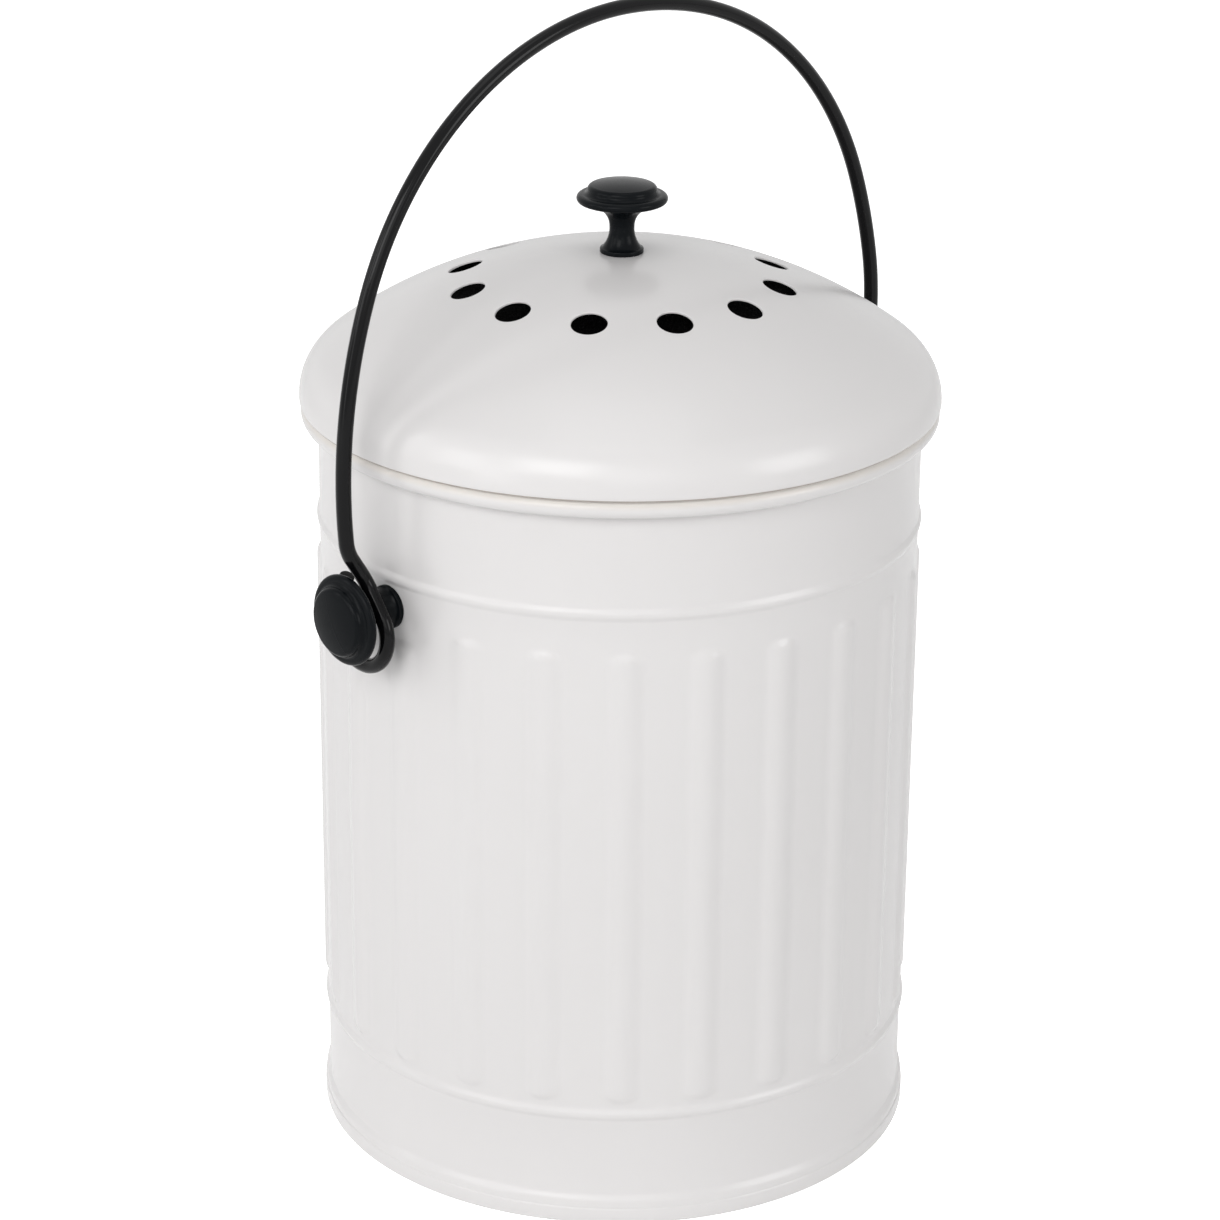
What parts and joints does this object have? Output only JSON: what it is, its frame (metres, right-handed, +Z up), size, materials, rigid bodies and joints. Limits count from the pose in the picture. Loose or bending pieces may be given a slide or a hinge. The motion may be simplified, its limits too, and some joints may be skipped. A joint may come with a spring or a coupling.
{
  "type": "kitchen compost bin",
  "caption": "Round ribbed steel kitchen compost bin with a domed vented lid, a charcoal filter under it, black knobs and a swinging wire handle.",
  "frame": {"origin": "centre of the base, on the surface that the bin stands on", "axes": "+Z up; the bail's pivot axis lies along X; the bail stands up in the XZ plane and its eyes hook forwards, to -Y"},
  "size_m": [0.215, 0.1846, 0.3372],
  "materials": {
    "white_enamel": "satin-gloss off-white powder coat on sheet steel",
    "black_knob": "satin-gloss black moulding",
    "black_wire": "satin-gloss black coat on steel wire",
    "tray_plastic": "fine matte black moulding",
    "charcoal_foam": "open-cell foam with charcoal",
    "brass": "turned",
    "zinc_steel": "bright zinc plate",
    "seal_rubber": "matte"
  },
  "bodies": {
    "bin": {"bin_wall": "white_enamel", "base_pan": "white_enamel", "left_knob": "black_knob", "right_knob": "black_knob", "left_insert": "brass", "left_screw": "zinc_steel", "left_washer": "zinc_steel", "left_spring_washer": "zinc_steel", "right_insert": "brass", "right_screw": "zinc_steel", "right_washer": "zinc_steel", "right_spring_washer": "zinc_steel", "left_seal": "seal_rubber", "right_seal": "seal_rubber"},
    "lid": {"lid_dome": "white_enamel", "lid_collar": "white_enamel", "filter_ring": "white_enamel", "lid_knob": "black_knob", "lid_insert": "brass", "lid_screw": "zinc_steel", "lid_washer": "zinc_steel", "lid_spring_washer": "zinc_steel"},
    "tray": {"filter_tray": "tray_plastic", "charcoal_filter": "charcoal_foam"},
    "handle": {"bail": "black_wire"}
  },
  "joints": [
    {"name": "bail_swing", "type": "hinge", "parent": "bin", "child": "handle", "pos_m": [0, 0, 0.1791], "axis": [1, 0, 0], "range_deg": [-143, 143]},
    {"name": "lid_lift", "type": "slide", "parent": "bin", "child": "lid", "axis": [0, 0, 1], "range_m": [0, 0.028]},
    {"name": "tray_release", "type": "slide", "parent": "lid", "child": "tray", "axis": [0, 0, -1], "range_m": [0, 0.012]}
  ]
}
